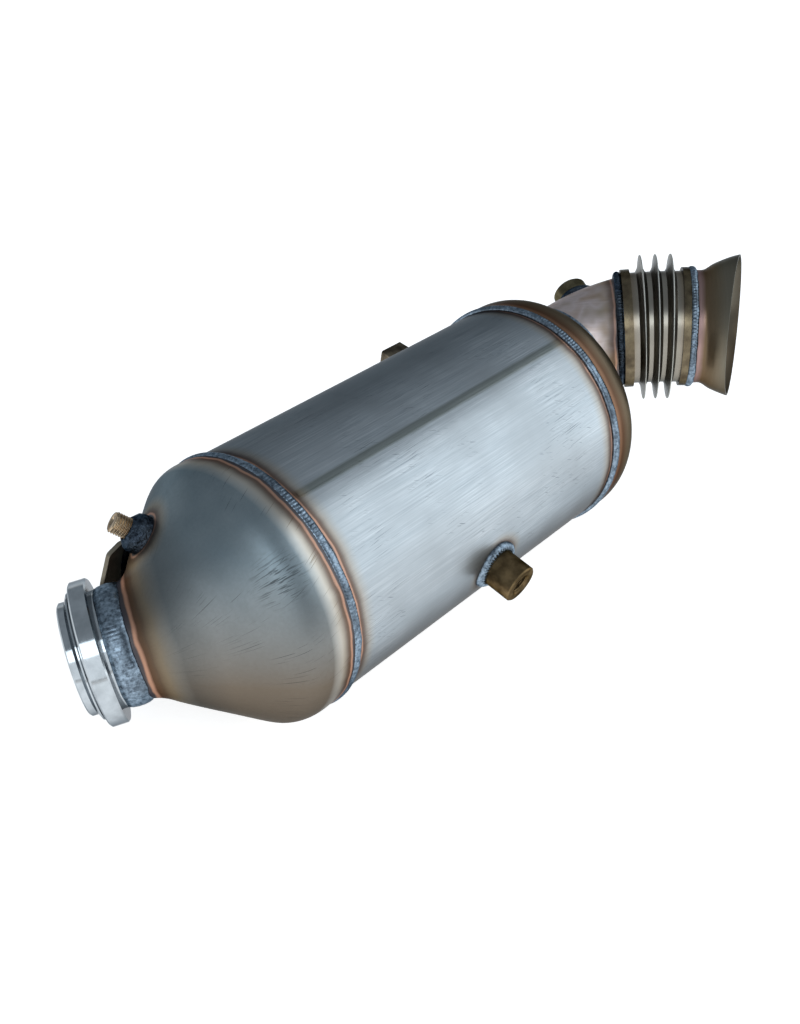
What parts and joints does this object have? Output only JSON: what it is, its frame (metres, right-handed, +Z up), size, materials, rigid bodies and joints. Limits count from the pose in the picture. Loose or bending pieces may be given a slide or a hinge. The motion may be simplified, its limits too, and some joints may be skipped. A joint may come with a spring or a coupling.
{
  "type": "diesel particulate filter",
  "caption": "Welded stainless exhaust filter can: canted inlet cone with clamp flange, outlet elbow, bellows and flared socket.",
  "frame": {"origin": "centre of the clamp ring's front face, on the inlet bore's axis", "axes": "+X along the can from inlet to outlet, +Z up, -Y towards the can's sensor boss"},
  "size_m": [0.5301, 0.206, 0.1873],
  "materials": {
    "can_steel": "brushed",
    "cone_steel": "satin",
    "tinted_steel": "satin, heat tinted",
    "machined_steel": "polished",
    "boss_steel": "satin, heat tinted",
    "weld_bead": "rippled, oxidised",
    "bellows_steel": "polished",
    "collar_steel": "satin, heat tinted",
    "ceramic_brick": "matt",
    "fibre_mat": "matt"
  },
  "bodies": {
    "root": {"inlet_flange": "machined_steel", "inlet_flange_weld": "weld_bead", "inlet_cone": "cone_steel", "inlet_bracket": "tinted_steel", "pressure_tap": "boss_steel", "pressure_tap_weld": "weld_bead", "inlet_bracket_weld": "weld_bead", "front_girth_weld": "weld_bead", "can_shell": "can_steel", "can_seam_weld": "can_steel", "can_sensor_boss": "boss_steel", "can_sensor_boss_weld": "weld_bead", "mount_block": "boss_steel", "mount_block_weld": "weld_bead", "catalyst_brick": "ceramic_brick", "catalyst_mat": "fibre_mat", "filter_brick": "ceramic_brick", "filter_mat": "fibre_mat", "rear_girth_weld": "weld_bead", "outlet_dome": "tinted_steel", "elbow_root_weld": "weld_bead", "outlet_elbow": "tinted_steel", "bellows_front_weld": "weld_bead", "elbow_sensor_boss": "boss_steel", "elbow_sensor_boss_weld": "weld_bead", "bellows_front_collar": "collar_steel", "bellows": "bellows_steel", "bellows_rear_collar": "collar_steel", "outlet_flare": "tinted_steel", "bellows_rear_weld": "weld_bead"}
  },
  "joints": []
}
